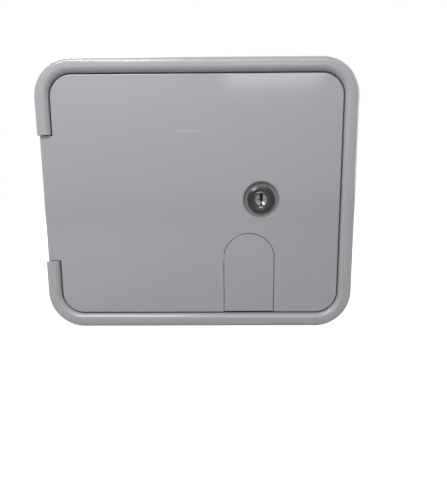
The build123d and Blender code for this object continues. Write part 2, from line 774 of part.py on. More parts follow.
# Lock nut: a thin hexagon nut on the lock's thread, behind the door
nut_front = recess_back - lock_washer_thickness
with BuildPart() as lock_nut:
    with BuildSketch(at_height(nut_front - lock_nut_thickness)) as nut_outline:
        with Locations((lock_x, lock_z)):
            RegularPolygon(lock_nut_width / 2, 6, major_radius=False)
            Circle(lock_barrel_radius + pin_fit, mode=Mode.SUBTRACT)
    extrude(amount=lock_nut_thickness)
    chamfer(lock_nut.faces().sort_by(Axis.Y)[-1].outer_wire().edges(), length=lock_nut_chamfer)

lock_nut.part.label = "lock_nut"
export_step(lock_nut.part, "parts/lock_nut.step")

# Stop washer: turns with the plug, and its ear meets the body's lug at each end of the quarter turn
with BuildPart() as stop_washer:
    with BuildSketch(at_height(stop_back)) as stop_outline:
        with Locations((lock_x, lock_z)):
            Circle(stop_washer_radius)
        with Locations((lock_x, lock_z - stop_ear_reach / 2)):
            Rectangle(stop_ear_width, stop_ear_reach)
        with Locations((lock_x, lock_z)):
            Rectangle(drive_square + 2 * drive_gap, drive_square + 2 * drive_gap, mode=Mode.SUBTRACT)
    extrude(amount=stop_washer_thickness)

stop_washer.part.label = "stop_washer"
export_step(stop_washer.part, "parts/stop_washer.step")

# Cam: a flat steel bar on the plug's square, upright while unlocked, behind the strike when turned
with BuildPart() as lock_cam:
    with BuildSketch(at_height(cam_back)) as cam_outline:
        with Locations((lock_x, lock_z)):
            Circle(cam_root_radius)
        with Locations((lock_x, lock_z + cam_reach - cam_tip_radius)):
            Circle(cam_tip_radius)
        make_hull()
        with Locations((lock_x, lock_z)):
            Rectangle(drive_square + 2 * drive_gap, drive_square + 2 * drive_gap, mode=Mode.SUBTRACT)
    extrude(amount=cam_thickness)

lock_cam.part.label = "lock_cam"
export_step(lock_cam.part, "parts/lock_cam.step")

# Cam washer: a split spring washer under the screw's head
with BuildPart() as cam_washer:
    with BuildSketch(at_height(cam_washer_back)) as cam_washer_ring:
        with Locations((lock_x, lock_z)):
            Circle(cam_washer_radius)
            Circle(cam_screw_radius + drive_gap, mode=Mode.SUBTRACT)
        with Locations((lock_x + cam_washer_radius / 2, lock_z)):
            Rectangle(cam_washer_radius, cam_washer_split, mode=Mode.SUBTRACT)
    extrude(amount=cam_washer_thickness)

cam_washer.part.label = "cam_washer"
export_step(cam_washer.part, "parts/cam_washer.step")

# Cam screw: a cheese head screw with a cross recess, in the plug's rear end
with BuildPart() as cam_screw:
    with BuildSketch(lock_turning_plane()) as screw_section:
        head_back = cam_washer_back - cam_screw_head_height
        with BuildLine():
            Polyline(
                (0, head_back),
                (0, drive_back + cam_screw_depth - end_play),
                (cam_screw_radius, drive_back + cam_screw_depth - end_play),
                (cam_screw_radius, cam_washer_back),
                (cam_screw_head_radius, cam_washer_back),
                (cam_screw_head_radius, head_back),
                close=True,
            )
        make_face()
    revolve(axis=lock_axis)
    with BuildSketch(at_height(head_back)) as cross_recess:
        with Locations((lock_x, lock_z)):
            Rectangle(cam_screw_slot_width, cam_screw_head_radius)
            Rectangle(cam_screw_head_radius, cam_screw_slot_width)
    extrude(amount=cam_screw_slot_depth, mode=Mode.SUBTRACT)

cam_screw.part.label = "cam_screw"
export_step(cam_screw.part, "parts/cam_screw.step")
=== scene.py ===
from math import asin, cos, pi, radians, sin

import bmesh
import bpy
from mathutils import Matrix, Vector


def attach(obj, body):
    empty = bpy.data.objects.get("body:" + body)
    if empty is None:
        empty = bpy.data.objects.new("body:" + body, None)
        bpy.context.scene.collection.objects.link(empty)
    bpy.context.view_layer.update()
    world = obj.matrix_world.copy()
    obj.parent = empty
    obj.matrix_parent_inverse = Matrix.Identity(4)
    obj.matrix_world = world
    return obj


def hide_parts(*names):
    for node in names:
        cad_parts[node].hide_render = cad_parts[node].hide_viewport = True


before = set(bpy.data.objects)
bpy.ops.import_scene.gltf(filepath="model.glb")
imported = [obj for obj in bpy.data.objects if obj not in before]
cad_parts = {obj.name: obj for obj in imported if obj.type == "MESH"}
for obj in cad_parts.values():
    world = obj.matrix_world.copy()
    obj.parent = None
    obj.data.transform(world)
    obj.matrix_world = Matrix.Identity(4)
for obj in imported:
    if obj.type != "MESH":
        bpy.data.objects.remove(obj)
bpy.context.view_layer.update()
MM = 0.001


# Frame: the moulded surround that is screwed to the vehicle's side wall. It is one light grey
# plastic moulding: a hollow rolled bead, a ledge that takes the gasket and the screws, and a collar
# that lines the cut-out and carries the strike. An outline is a width, a height and a corner radius.
OPENING = (209.0, 174.8, 16.5)
BEAD_WIDTH, BEAD_HEIGHT, BEAD_WALL = 10.0, 12.0, 2.5
OUTER_ROUND, OUTER_STEPS = 3.4, 8
CROWN_ROUND, CROWN_SLOPE, CROWN_STEPS = 13.0, radians(7.7), 4
ROLL_WIDTH, ROLL_FALL, ROLL_STEPS = 3.9, 3.0, 10
ROLL_FOOT, LEDGE_HEIGHT = 8.0, 2.5
COLLAR_INSIDE, COLLAR_OUTSIDE, COLLAR_DEPTH = (180.0, 145.8, 8.0), (185.0, 150.8, 10.5), 25.0
TAB_CENTRE, TAB_HEIGHT, TAB_PLAY = -0.7, 90.6, 0.5
HINGE_X, HINGE_OUT = -110.4, 6.0
CORNER_STEPS = 16
SAME_PLACE = 0.001 * MM
AGAINST_WALL = Matrix.Rotation(radians(90), 3, "X")


def outline_ring(bm, width, height, corner, out):
    """A closed ring of edges at this height above the wall: a rectangle with rounded corners."""
    corners = bmesh.ops.create_grid(bm, x_segments=1, y_segments=1, size=0.5)["verts"]
    bmesh.ops.scale(bm, vec=(width * MM, height * MM, 1), verts=corners)
    bmesh.ops.rotate(bm, matrix=AGAINST_WALL, verts=corners)
    bmesh.ops.translate(bm, vec=(0, -out * MM, 0), verts=corners)
    rounded = bmesh.ops.bevel(
        bm, geom=corners, offset=corner * MM, offset_type="OFFSET", segments=CORNER_STEPS,
        profile=0.5, affect="VERTICES", material=-1,
    )
    sheet = rounded["verts"][0].link_faces[0]
    ring = list(sheet.edges)
    bmesh.ops.delete(bm, geom=[sheet], context="FACES_ONLY")
    return ring


def beside(outline, away, out):
    """The section of a ring that lies this far outside an outline, at this height above the wall."""
    width, height, corner = outline
    return (width + 2 * away, height + 2 * away, corner + away, out)


def skin_rings(bm, make_ring, sections, closed):
    """Skins a row of rings, laid one before another to be joined and then moved to their heights."""
    rings = [make_ring(bm, *section[:-1], place) for place, section in enumerate(sections)]
    followers = rings[1:] + rings[:1] if closed else rings[1:]
    for ring, follower in zip(rings, followers):
        bmesh.ops.bridge_loops(bm, edges=ring + follower)
    for place, (ring, section) in enumerate(zip(rings, sections)):
        verts = list({vert for edge in ring for vert in edge.verts})
        bmesh.ops.translate(bm, vec=(0, (place - section[-1]) * MM, 0), verts=verts)
    if not closed:
        bmesh.ops.contextual_create(bm, geom=rings[0])
        bmesh.ops.contextual_create(bm, geom=rings[-1])


def as_piece(bm, name):
    """The finished mesh as an object at the origin, its faces outwards."""
    bmesh.ops.remove_doubles(bm, verts=bm.verts, dist=SAME_PLACE)
    bmesh.ops.recalc_face_normals(bm, faces=bm.faces)
    mesh = bpy.data.meshes.new(name)
    bm.to_mesh(mesh)
    bm.free()
    piece = bpy.data.objects.new(name, mesh)
    bpy.context.scene.collection.objects.link(piece)
    return piece


def block(bm, low, high, about=(0, 0, 0)):
    """A box between two corners, each given as X, height above the wall and Z from a point."""
    low = [start + part for start, part in zip(about, low)]
    high = [start + part for start, part in zip(about, high)]
    verts = bmesh.ops.create_cube(bm, size=1)["verts"]
    size = [high[i] - low[i] for i in range(3)]
    middle = [(high[i] + low[i]) / 2 for i in range(3)]
    bmesh.ops.scale(bm, vec=[part * MM for part in size], verts=verts)
    bmesh.ops.translate(bm, vec=(middle[0] * MM, -middle[1] * MM, middle[2] * MM), verts=verts)


def one_block(low, high, about=(0, 0, 0)):
    """A shape that is a single block."""
    bm = bmesh.new()
    block(bm, low, high, about)
    return bm


def turned(bm, profile, x, z, steps=64):
    """A round piece about an axis through the wall: the profile gives radius and height above the wall."""
    made = [bm.verts.new(((x + radius) * MM, -out * MM, z * MM)) for radius, out in profile]
    edges = [bm.edges.new(pair) for pair in zip(made, made[1:])]
    bmesh.ops.spin(
        bm, geom=made + edges, cent=(x * MM, 0, z * MM), axis=(0, 1, 0), angle=2 * pi,
        steps=steps, use_merge=True,
    )
    bmesh.ops.remove_doubles(bm, verts=bm.verts, dist=SAME_PLACE)


def rod(bm, radius, centre, length, axis, steps=32):
    """A round rod about a line along X or Z, from its centre point."""
    made = bmesh.ops.create_cone(
        bm, cap_ends=True, segments=steps, radius1=radius * MM, radius2=radius * MM, depth=length * MM,
    )["verts"]
    if axis == "X":
        bmesh.ops.rotate(bm, matrix=Matrix.Rotation(radians(90), 3, "Y"), verts=made)
    bmesh.ops.translate(bm, vec=(centre[0] * MM, -centre[1] * MM, centre[2] * MM), verts=made)


def shape_with(piece, bm, operation, crossing=False):
    """Joins the shape in bm to the piece, or cuts it out of the piece."""
    tool = as_piece(bm, "shape")
    change = piece.modifiers.new("shape", "BOOLEAN")
    change.object = tool
    change.operation = operation
    change.solver = "EXACT"
    change.use_self = crossing
    bpy.context.view_layer.objects.active = piece
    bpy.ops.object.modifier_apply(modifier=change.name)
    bpy.data.objects.remove(tool)


def clear_slivers(bm, reach):
    """Merges the points that lie nearer than this, and takes out the slivers between them."""
    bmesh.ops.remove_doubles(bm, verts=bm.verts, dist=reach)
    bmesh.ops.dissolve_degenerate(bm, edges=bm.edges, dist=reach)


def soften(piece, width):
    """The small radius that a mould or a press leaves on every outer edge above 35 degrees."""
    bm = bmesh.new()
    bm.from_mesh(piece.data)
    clear_slivers(bm, 0.01 * MM)
    bmesh.ops.dissolve_limit(bm, angle_limit=radians(0.5), verts=bm.verts, edges=bm.edges)
    sharp = [edge for edge in bm.edges if edge.is_convex and edge.calc_face_angle(0) > radians(35)]
    bmesh.ops.bevel(
        bm, geom=sharp, offset=width * MM, offset_type="OFFSET", segments=2, profile=0.5, affect="EDGES",
        material=-1, clamp_overlap=False,
    )
    clear_slivers(bm, 0.002 * MM)
    bmesh.ops.delete(bm, geom=[edge for edge in bm.edges if edge.is_wire], context="EDGES")
    bm.to_mesh(piece.data)
    bm.free()
    piece.data.shade_smooth()
    piece.data.set_sharp_from_angle(angle=radians(50))
    flats = piece.modifiers.new("flats", "WEIGHTED_NORMAL")
    flats.keep_sharp = True
    flats.weight = 60


# The bead's section goes up its outer side, over the gently sloping crown and down the inner roll
bm = bmesh.new()
roll_radius = (ROLL_WIDTH**2 + ROLL_FALL**2) / (2 * ROLL_FALL)
crown_edge = BEAD_WIDTH - OUTER_ROUND * (1 - sin(CROWN_SLOPE))
crown_fall = CROWN_ROUND * (1 - cos(CROWN_SLOPE))
round_base = BEAD_HEIGHT - crown_fall - OUTER_ROUND * cos(CROWN_SLOPE)
bead = [(BEAD_WIDTH, 0.0), (BEAD_WIDTH, round_base)]
for step in range(1, OUTER_STEPS + 1):
    turn = (pi / 2 - CROWN_SLOPE) * step / OUTER_STEPS
    bead.append((BEAD_WIDTH - OUTER_ROUND * (1 - cos(turn)), round_base + OUTER_ROUND * sin(turn)))
for step in range(1, CROWN_STEPS + 1):
    slope = CROWN_SLOPE * (1 - step / CROWN_STEPS)
    away = crown_edge - CROWN_ROUND * (sin(CROWN_SLOPE) - sin(slope))
    bead.append((away, BEAD_HEIGHT - CROWN_ROUND * (1 - cos(slope))))
for step in range(ROLL_STEPS + 1):
    turn = asin(ROLL_WIDTH / roll_radius) * step / ROLL_STEPS
    bead.append((ROLL_WIDTH - roll_radius * sin(turn), BEAD_HEIGHT - roll_radius * (1 - cos(turn))))
bead += [(0.0, ROLL_FOOT), (0.0, LEDGE_HEIGHT)]
hollow_end, hollow_top = BEAD_WIDTH - BEAD_WALL, BEAD_HEIGHT - BEAD_WALL
hollow = [(BEAD_WALL, 0.0), (BEAD_WALL, hollow_top), (hollow_end, hollow_top), (hollow_end, 0.0)]
sections = [beside(OPENING, away, out) for away, out in bead]
sections += [(*COLLAR_INSIDE, LEDGE_HEIGHT), (*COLLAR_INSIDE, -COLLAR_DEPTH)]
sections += [(*COLLAR_OUTSIDE, -COLLAR_DEPTH), (*COLLAR_OUTSIDE, 0.0)]
sections += [beside(OPENING, away, out) for away, out in hollow]
skin_rings(bm, outline_ring, sections, closed=True)
frame_piece = as_piece(bm, "frame_moulding")

# The bead's ends are filled where they hold the hinge pins, and stop at the door's hinge tab
BOSS_LEFT, BOSS_RIGHT, BOSS_HEIGHT, BOSS_LENGTH = -112.6, -106.4, 10.1, 10.0
tab_low, tab_high = TAB_CENTRE - TAB_HEIGHT / 2, TAB_CENTRE + TAB_HEIGHT / 2
gap_low, gap_high = tab_low - TAB_PLAY, tab_high + TAB_PLAY
opening_left = -OPENING[0] / 2
bead_left = opening_left - BEAD_WIDTH
bm = bmesh.new()
block(bm, (BOSS_LEFT, 0, gap_high), (BOSS_RIGHT, BOSS_HEIGHT, gap_high + BOSS_LENGTH))
block(bm, (BOSS_LEFT, 0, gap_low - BOSS_LENGTH), (BOSS_RIGHT, BOSS_HEIGHT, gap_low))
shape_with(frame_piece, bm, "UNION")
tab_gap = one_block((bead_left - 1.5, -1, gap_low), (opening_left, BEAD_HEIGHT + 1, gap_high))
shape_with(frame_piece, tab_gap, "DIFFERENCE")

# A web stays behind the tab, and the strike for the cam stands inside the collar's right wall
WEB_HEIGHT = 2
STRIKE_LEFT, STRIKE_RIGHT, STRIKE_WALL = 78.95, 91.25, 2.5
STRIKE_LOW, STRIKE_HIGH, STRIKE_FRONT, STRIKE_BACK = -12.4, 9.6, -6.75, -9.75
bm = bmesh.new()
block(bm, (bead_left, 0, gap_low), (opening_left, WEB_HEIGHT, gap_high))
block(bm, (STRIKE_LEFT, STRIKE_BACK, STRIKE_LOW), (STRIKE_RIGHT, STRIKE_FRONT, STRIKE_HIGH))
block(bm, (STRIKE_LEFT, STRIKE_BACK, STRIKE_LOW), (STRIKE_RIGHT, 0, STRIKE_LOW + STRIKE_WALL))
block(bm, (STRIKE_LEFT, STRIKE_BACK, STRIKE_HIGH - STRIKE_WALL), (STRIKE_RIGHT, 0, STRIKE_HIGH))
shape_with(frame_piece, bm, "UNION", crossing=True)

# The hinge pins' bores run through both bosses, and the four wall screws have countersunk holes
PIN_BORE, SCREW_X, SCREW_Z = 1.62, 96.2, 79.1
countersunk = [(0, -1), (2.25, -1), (2.25, 0.75), (4.0, 2.5), (4.2, 3.5), (0, 3.5)]
bm = bmesh.new()
rod(bm, PIN_BORE, (HINGE_X, HINGE_OUT, TAB_CENTRE), TAB_HEIGHT + 2 * (TAB_PLAY + BOSS_LENGTH), "Z")
for side_x in (-SCREW_X, SCREW_X):
    for side_z in (-SCREW_Z, SCREW_Z):
        turned(bm, countersunk, side_x, side_z, 32)
shape_with(frame_piece, bm, "DIFFERENCE")
soften(frame_piece, 0.3)
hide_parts("frame")
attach(frame_piece, "frame_body")


def mottling(tree, spot, scale, detail):
    """The soft random clouds that grain, flow marks and grime follow."""
    noise = tree.nodes.new("ShaderNodeTexNoise")
    noise.inputs["Scale"].default_value = scale
    noise.inputs["Detail"].default_value = detail
    tree.links.new(spot, noise.inputs["Vector"])
    return noise


def spread(tree, value, low, high, from_low=0.0, from_high=1.0):
    """A value brought from one range into another."""
    reach = tree.nodes.new("ShaderNodeMapRange")
    reach.inputs["From Min"].default_value = from_low
    reach.inputs["From Max"].default_value = from_high
    reach.inputs["To Min"].default_value = low
    reach.inputs["To Max"].default_value = high
    tree.links.new(value, reach.inputs["Value"])
    return reach.outputs["Result"]


def edge_wear_and_highlight(tree, radius, flat, bent, wear):
    """Nothing on a flat, and as much as is given where the surface bends within the radius: worn metal on
    the metals; on the plastic a paler edge, partly rubbed wear and partly painted highlight.
    """
    soft_edge = tree.nodes.new("ShaderNodeBevel")
    soft_edge.samples = 4
    soft_edge.inputs["Radius"].default_value = radius * MM
    surface = tree.nodes.new("ShaderNodeNewGeometry")
    bend = tree.nodes.new("ShaderNodeVectorMath")
    bend.operation = "DOT_PRODUCT"
    tree.links.new(soft_edge.outputs["Normal"], bend.inputs[0])
    tree.links.new(surface.outputs["Normal"], bend.inputs[1])
    return spread(tree, bend.outputs["Value"], 0.0, wear, flat, bent)


def laid_over(tree, share, under, colour):
    """A colour laid over what is under it, by this share."""
    layers = tree.nodes.new("ShaderNodeMix")
    layers.data_type = "RGBA"
    layers.inputs["B"].default_value = colour
    tree.links.new(share, layers.inputs["Factor"])
    tree.links.new(under, layers.inputs["A"])
    return layers.outputs["Result"]


def raised(tree, pattern, strength, depth):
    """The surface raised and sunk by a pattern, to this depth."""
    relief = tree.nodes.new("ShaderNodeBump")
    relief.inputs["Strength"].default_value = strength
    relief.inputs["Distance"].default_value = depth * MM
    tree.links.new(pattern, relief.inputs["Height"])
    return relief


def moulded_plastic(name, colour, grain_offset, gloss):
    """Light grey moulded plastic: a fine spark-eroded grain, faint flow marks and paler edges that are
    partly rubbed wear and partly a painted highlight.
    Its skin is a little glossier than its body, which the coat gives."""
    material = bpy.data.materials.new(name)
    material.use_nodes = True
    tree = material.node_tree
    shader = tree.nodes["Principled BSDF"]
    shader.inputs["IOR"].default_value = 1.45
    shader.inputs["Coat Weight"].default_value = gloss
    shader.inputs["Coat Roughness"].default_value = 0.13
    place = tree.nodes.new("ShaderNodeTexCoord")
    moved = tree.nodes.new("ShaderNodeMapping")
    moved.inputs["Location"].default_value = (grain_offset, 0.0, grain_offset)
    tree.links.new(place.outputs["Object"], moved.inputs["Vector"])
    spot = moved.outputs["Vector"]

    flow = mottling(tree, spot, 9.0, 3.0)
    flow.inputs["Roughness"].default_value = 0.45
    tone = tree.nodes.new("ShaderNodeValToRGB")
    tone.color_ramp.elements[0].position = 0.3
    tone.color_ramp.elements[1].position = 0.7
    tone.color_ramp.elements[0].color = (colour[0] * 0.982, colour[1] * 0.982, colour[2] * 0.987, 1)
    tone.color_ramp.elements[1].color = (colour[0] * 1.018, colour[1] * 1.018, colour[2] * 1.013, 1)
    tree.links.new(flow.outputs["Fac"], tone.inputs["Fac"])
    # Paler edges on every bend: partly rubbed wear, partly a painted highlight
    rubbed_and_highlit = edge_wear_and_highlight(tree, 0.5, 0.99, 0.90, 1.0)
    rubbed_and_highlit_colour = (colour[0] * 1.25, colour[1] * 1.25, colour[2] * 1.25, 1)
    skin = laid_over(tree, rubbed_and_highlit, tone.outputs["Color"], rubbed_and_highlit_colour)
    tree.links.new(skin, shader.inputs["Base Color"])

    sheen_marks = mottling(tree, spot, 38.0, 4.0)
    rough = spread(tree, sheen_marks.outputs["Fac"], 0.42, 0.54)
    tree.links.new(rough, shader.inputs["Roughness"])
    grain = mottling(tree, spot, 1800.0, 2.0)
    waves = mottling(tree, spot, 26.0, 1.0)
    fine = raised(tree, grain.outputs["Fac"], 0.12, 0.05)
    broad = raised(tree, waves.outputs["Fac"], 0.2, 0.12)
    tree.links.new(fine.outputs["Normal"], broad.inputs["Normal"])
    tree.links.new(broad.outputs["Normal"], shader.inputs["Normal"])
    return material


def finish_with(piece, finish):
    """The piece's finish, in place of any that it has."""
    piece.data.materials.clear()
    piece.data.materials.append(finish)


frame_grey = moulded_plastic("frame_grey", (0.352, 0.353, 0.370), grain_offset=0.0, gloss=0.7)
finish_with(frame_piece, frame_grey)


# Door gasket: a ring of soft black foam rubber, stuck to the ledge, that the rib behind the door
# closes on. Its upper edges are rounded by the skin of the foam.
GASKET = (191.0, 156.8, 13.5)
foam = (
    (0.0, 2.5), (0.0, 4.0), (-0.2, 4.45), (-0.7, 4.7), (-4.3, 4.7), (-4.8, 4.45), (-5.0, 4.0), (-5.0, 2.5),
)
bm = bmesh.new()
skin_rings(bm, outline_ring, [beside(GASKET, away, out) for away, out in foam], closed=True)
gasket_piece = as_piece(bm, "door_gasket_foam")
gasket_piece.data.shade_smooth()
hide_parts("door_gasket")
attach(gasket_piece, "frame_body")
rubber = bpy.data.materials.new("foam_rubber")
rubber.use_nodes = True
tree = rubber.node_tree
shader = tree.nodes["Principled BSDF"]
shader.inputs["Roughness"].default_value = 0.85
place = tree.nodes.new("ShaderNodeTexCoord")
cells = tree.nodes.new("ShaderNodeTexVoronoi")
cells.inputs["Scale"].default_value = 2200.0
tree.links.new(place.outputs["Object"], cells.inputs["Vector"])
cell_tone = tree.nodes.new("ShaderNodeValToRGB")
cell_tone.color_ramp.elements[0].color = (0.018, 0.018, 0.02, 1)
cell_tone.color_ramp.elements[1].color = (0.04, 0.04, 0.043, 1)
tree.links.new(cells.outputs["Distance"], cell_tone.inputs["Fac"])
tree.links.new(cell_tone.outputs["Color"], shader.inputs["Base Color"])
cell_walls = raised(tree, cells.outputs["Distance"], 0.5, 0.15)
tree.links.new(cell_walls.outputs["Normal"], shader.inputs["Normal"])
finish_with(gasket_piece, rubber)


# Door: one moulding of the same plastic as the frame. Its skin carries the hinge tab and knuckle at
# the left, a round recess for the lock and the arched hole for the cord flap; ribs, a skirt and a
# sealing rib stiffen it behind.
DOOR, SEAL_RIB, SEAL_RIB_WIDTH = (207.4, 173.2, 15.7), (187.6, 153.4, 11.8), 1.6
DOOR_FACE, DOOR_BACK, DOOR_EDGE, SKIRT_BACK = 9.5, 6.5, 0.9, 5.0
SKIRT_OUTSIDE, SKIRT_INSIDE = -0.5, -2.3
TAB_ROOT, KNUCKLE_RADIUS = -102.3, 3.5
RIB_HALF, RIB_BACK, RIB_END_X, RIB_END_Z = 0.8, 4.0, 89.5, 72.4
INSIDE_SKIN = 8.0
LOCK_X, LOCK_Z, LOCK_STEPS = 46.2, -1.4, 96
LOCK_AXIS = (LOCK_X, 0, LOCK_Z)
FLAP_X, ARCH_Z, FLAP_PIVOT = 37.5, -45.35, 5.7
edge = []
for turn in (0, 22, 45, 68):
    away = -DOOR_EDGE * (1 - sin(radians(turn)))
    edge.append((away, DOOR_FACE - DOOR_EDGE * (1 - cos(radians(turn)))))
edge += [(0, DOOR_FACE - DOOR_EDGE), (0, DOOR_BACK)]
edge += [(SKIRT_OUTSIDE, DOOR_BACK), (SKIRT_OUTSIDE, SKIRT_BACK)]
edge += [(SKIRT_INSIDE, SKIRT_BACK), (SKIRT_INSIDE, DOOR_BACK)]
seal = ((0, DOOR_BACK), (0, SKIRT_BACK), (-SEAL_RIB_WIDTH, SKIRT_BACK), (-SEAL_RIB_WIDTH, DOOR_BACK))
sections = [beside(DOOR, away, out) for away, out in edge]
sections += [beside(SEAL_RIB, away, out) for away, out in seal]
bm = bmesh.new()
skin_rings(bm, outline_ring, sections, closed=False)
door_piece = as_piece(bm, "door_moulding")

tab = one_block((HINGE_X, DOOR_BACK, tab_low), (TAB_ROOT, DOOR_FACE, tab_high))
shape_with(door_piece, tab, "UNION")
bm = bmesh.new()
rod(bm, KNUCKLE_RADIUS, (HINGE_X, HINGE_OUT, TAB_CENTRE), TAB_HEIGHT, "Z", 64)
shape_with(door_piece, bm, "UNION")
bm = bmesh.new()
for column in (-66.0, -33.0, 0.0, 72.0):
    block(bm, (column - RIB_HALF, RIB_BACK, -RIB_END_Z), (column + RIB_HALF, INSIDE_SKIN, RIB_END_Z))
for row in (52.0, 20.0, -21.0):
    block(bm, (-RIB_END_X, RIB_BACK, row - RIB_HALF), (RIB_END_X, INSIDE_SKIN, row + RIB_HALF))
lock_boss = [(0, 4.0), (14.7, 4.0), (15.5, 6.5), (15.5, 8.0), (0, 8.0)]
turned(bm, lock_boss, LOCK_X, LOCK_Z)
shape_with(door_piece, bm, "UNION", crossing=True)


def turned_on_lock(profile, steps=LOCK_STEPS):
    """A shape turned about the lock's axis."""
    bm = bmesh.new()
    turned(bm, profile, LOCK_X, LOCK_Z, steps)
    return bm


# The recess, its rim and its floor's edge rounded
recess = [
    (0, 7.0), (10.9, 7.0), (11.4, 7.1), (11.8, 7.4), (13.15, 8.95), (13.35, 9.18), (13.55, 9.37),
    (13.8, 9.51), (14.2, 10.5), (0, 10.5),
]
shape_with(door_piece, turned_on_lock(recess), "DIFFERENCE")


def arch_ring(bm, half_width, radius, foot, out):
    """A closed ring of edges in the flap's shape: an arch on two straight sides."""
    lift = (radius**2 - half_width**2) ** 0.5
    start = bm.verts.new(((FLAP_X + half_width) * MM, -out * MM, (ARCH_Z + lift) * MM))
    sweep = 2 * asin(half_width / radius)
    spun = bmesh.ops.spin(
        bm, geom=[start], cent=(FLAP_X * MM, -out * MM, ARCH_Z * MM), axis=(0, -1, 0), angle=sweep,
        steps=32,
    )
    end = spun["geom_last"][0]
    feet = [bm.verts.new(((FLAP_X + side * half_width) * MM, -out * MM, foot * MM)) for side in (1, -1)]
    ring = [bm.edges.new(pair) for pair in ((start, feet[0]), (feet[0], feet[1]), (feet[1], end))]
    walk = start
    while walk != end:
        edge = [near for near in walk.link_edges if near not in ring][0]
        ring.append(edge)
        walk = edge.other_vert(walk)
    return ring


HOLE_HALF, HOLE_ARCH, PAST_FOOT = 19.0, 19.25, -88.0
rim = ((0, -1.0), (0, 9.25), (0.04, 9.36), (0.12, 9.46), (0.25, 9.53), (0.5, 10.5))
bm = bmesh.new()
sections = [(HOLE_HALF + away, HOLE_ARCH + away, PAST_FOOT, out) for away, out in rim]
skin_rings(bm, arch_ring, sections, closed=False)
shape_with(door_piece, bm, "DIFFERENCE")

# Walls and lips beside that hole, and the ears that hold the flap's pin
WALL_END, WALL_FOOT, WALL_HEAD = 20.6, -75.9, -42.75
LIP_START, LIP_FRONT, LIP_HEAD = 17.8, 6.3, -47.95
EAR_END, EAR_RADIUS = 22.0, 2.6
wall = (HOLE_HALF, WALL_END, SKIRT_BACK, INSIDE_SKIN, WALL_FOOT, WALL_HEAD)
lip = (LIP_START, WALL_END, SKIRT_BACK, LIP_FRONT, WALL_FOOT, LIP_HEAD)
ear = (HOLE_HALF, EAR_END, FLAP_PIVOT, INSIDE_SKIN, ARCH_Z - EAR_RADIUS, ARCH_Z + EAR_RADIUS)
bm = bmesh.new()
for side in (-1, 1):
    for near, far, back, front, low, high in (wall, lip, ear):
        left, right = sorted((FLAP_X + side * near, FLAP_X + side * far))
        block(bm, (left, back, low), (right, front, high))
    ear_middle = FLAP_X + side * (HOLE_HALF + EAR_END) / 2
    rod(bm, EAR_RADIUS, (ear_middle, FLAP_PIVOT, ARCH_Z), EAR_END - HOLE_HALF, "X")
shape_with(door_piece, bm, "UNION", crossing=True)

# Bores for the flap's pin and the two hinge pins, and the slot that hollows the knuckle between them
FLAP_PIN_BORE, FLAP_PIN_REACH = 1.02, 44.0
KNUCKLE_BORE, KNUCKLE_REACH, SLOT_HALF, SLOT_START = 1.66, 21.0, 1.7, 14
bm = bmesh.new()
rod(bm, FLAP_PIN_BORE, (FLAP_X, FLAP_PIVOT, ARCH_Z), FLAP_PIN_REACH, "X")
for end in (tab_low, tab_high):
    rod(bm, KNUCKLE_BORE, (HINGE_X, HINGE_OUT, end), KNUCKLE_REACH, "Z")
slot_low, slot_high = tab_low + SLOT_START, tab_high - SLOT_START
block(bm, (HINGE_X - SLOT_HALF, 0, slot_low), (HINGE_X + SLOT_HALF, DOOR_BACK, slot_high))
shape_with(door_piece, bm, "DIFFERENCE", crossing=True)


def taken_back(piece):
    """The shape of a helping piece once more, and the piece itself removed."""
    bm = bmesh.new()
    bm.from_mesh(piece.data)
    bpy.data.objects.remove(piece)
    return bm


# The lock's hole has two flats, which keep the lock from turning
LOCK_HOLE, LOCK_HOLE_FLAT = 9.62, 8.12
hole = as_piece(turned_on_lock([(0, 2.0), (LOCK_HOLE, 2.0), (LOCK_HOLE, 8.0), (0, 8.0)], 64), "hole")
flats = one_block((-LOCK_HOLE_FLAT, 0, -20), (LOCK_HOLE_FLAT, 10, 20), LOCK_AXIS)
shape_with(hole, flats, "INTERSECT")
shape_with(door_piece, taken_back(hole), "DIFFERENCE")
soften(door_piece, 0.25)
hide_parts("door")
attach(door_piece, "door_body")


def patch(tree, centre, half_size, soft, share):
    """A soft-edged oval on the door's face: its share inside, nothing outside."""
    scale = (1 / (half_size[0] * MM), 0, 1 / (half_size[1] * MM))
    centred = tree.nodes.new("ShaderNodeMapping")
    centred.vector_type = "POINT"
    centred.inputs["Scale"].default_value = scale
    centred.inputs["Location"].default_value = (-centre[0] * MM * scale[0], 0, -centre[1] * MM * scale[2])
    tree.links.new(tree.nodes["Texture Coordinate"].outputs["Object"], centred.inputs["Vector"])
    reach = tree.nodes.new("ShaderNodeVectorMath")
    reach.operation = "LENGTH"
    tree.links.new(centred.outputs["Vector"], reach.inputs[0])
    mask = spread(tree, reach.outputs["Value"], 0.0, share, 1.0, 1.0 - soft)
    mask.node.interpolation_type = "SMOOTHSTEP"
    return mask


# Painted shade darkens the recess round the lock, and a faint pale streak is painted across the door
DOOR_COLOUR, DOOR_GRAIN = (0.326, 0.328, 0.350), 0.37
door_grey = moulded_plastic("door_grey", DOOR_COLOUR, DOOR_GRAIN, gloss=1.0)
tree = door_grey.node_tree
shader = tree.nodes["Principled BSDF"]
skin = shader.inputs["Base Color"].links[0].from_socket
# Painted shade: a dark grey oval laid over the recess round the lock and its rim
grime_and_painted_shade = ((LOCK_X + 0.45, LOCK_Z - 0.45), (13.9, 13.9), 0.12, 0.84, (0.19, 0.192, 0.198, 1))
# A faint pale streak, painted across the door's face
pale_streak = ((-4.9, 47.5), (19.0, 0.9), 0.9, 0.22, (0.6, 0.6, 0.62, 1))
for centre, half_size, soft, share, tint in (grime_and_painted_shade, pale_streak):
    skin = laid_over(tree, patch(tree, centre, half_size, soft, share), skin, tint)
tree.links.new(skin, shader.inputs["Base Color"])
finish_with(door_piece, door_grey)


